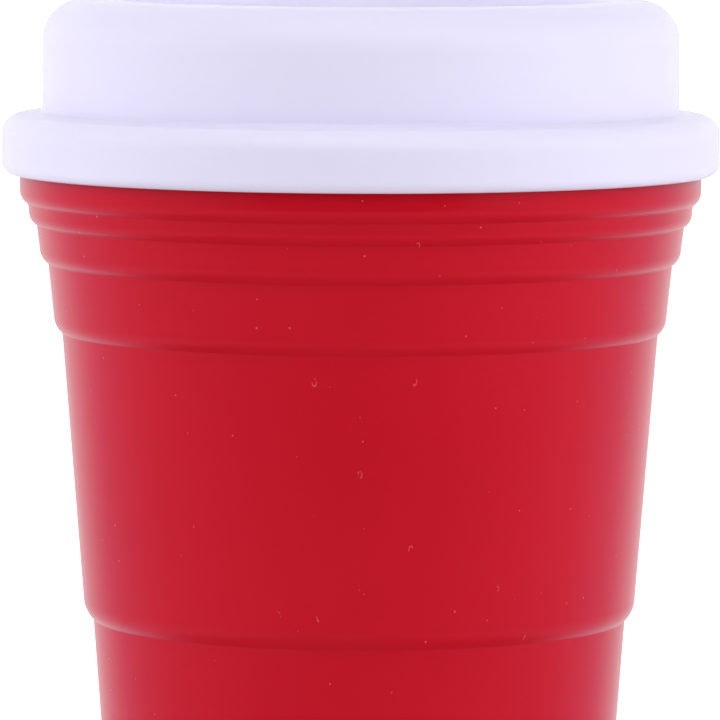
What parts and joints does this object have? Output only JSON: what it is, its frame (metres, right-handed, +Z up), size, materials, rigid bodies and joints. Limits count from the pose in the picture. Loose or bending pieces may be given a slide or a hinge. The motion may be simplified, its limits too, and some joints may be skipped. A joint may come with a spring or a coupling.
{
  "type": "travel cup",
  "caption": "Stepped, tapered double-wall travel cup with a domed press-on lid, a recessed deck and a sliding sip closure.",
  "frame": {"origin": "centre of the foot, on the surface that the cup stands on", "axes": "+Z up along the cup's axis, sip opening towards -Y"},
  "size_m": [0.098, 0.098, 0.135],
  "materials": {
    "red_plastic": "glossy moulded red",
    "lid_plastic": "glossy moulded white with a cool cast",
    "liner_plastic": "satin moulded white",
    "silicone": "soft translucent white"
  },
  "bodies": {
    "cup": {"outer_shell": "red_plastic", "inner_liner": "liner_plastic"},
    "gasket": {"lid_gasket": "silicone"},
    "lid": {"lid_cover": "lid_plastic", "lid_insert": "lid_plastic"},
    "slider": {"sip_slider": "lid_plastic", "slider_seal": "silicone", "slider_clip": "lid_plastic"}
  },
  "joints": [
    {"name": "lid_lift", "type": "slide", "parent": "cup", "child": "gasket", "axis": [0, 0, 1], "range_m": [0, 0.06]},
    {"name": "lid_turn", "type": "hinge", "parent": "gasket", "child": "lid", "pos_m": [0, 0, 0.118], "axis": [0, 0, 1], "continuous": true},
    {"name": "sip_slide", "type": "slide", "parent": "lid", "child": "slider", "axis": [0, 1, 0], "range_m": [0, 0.011]}
  ]
}
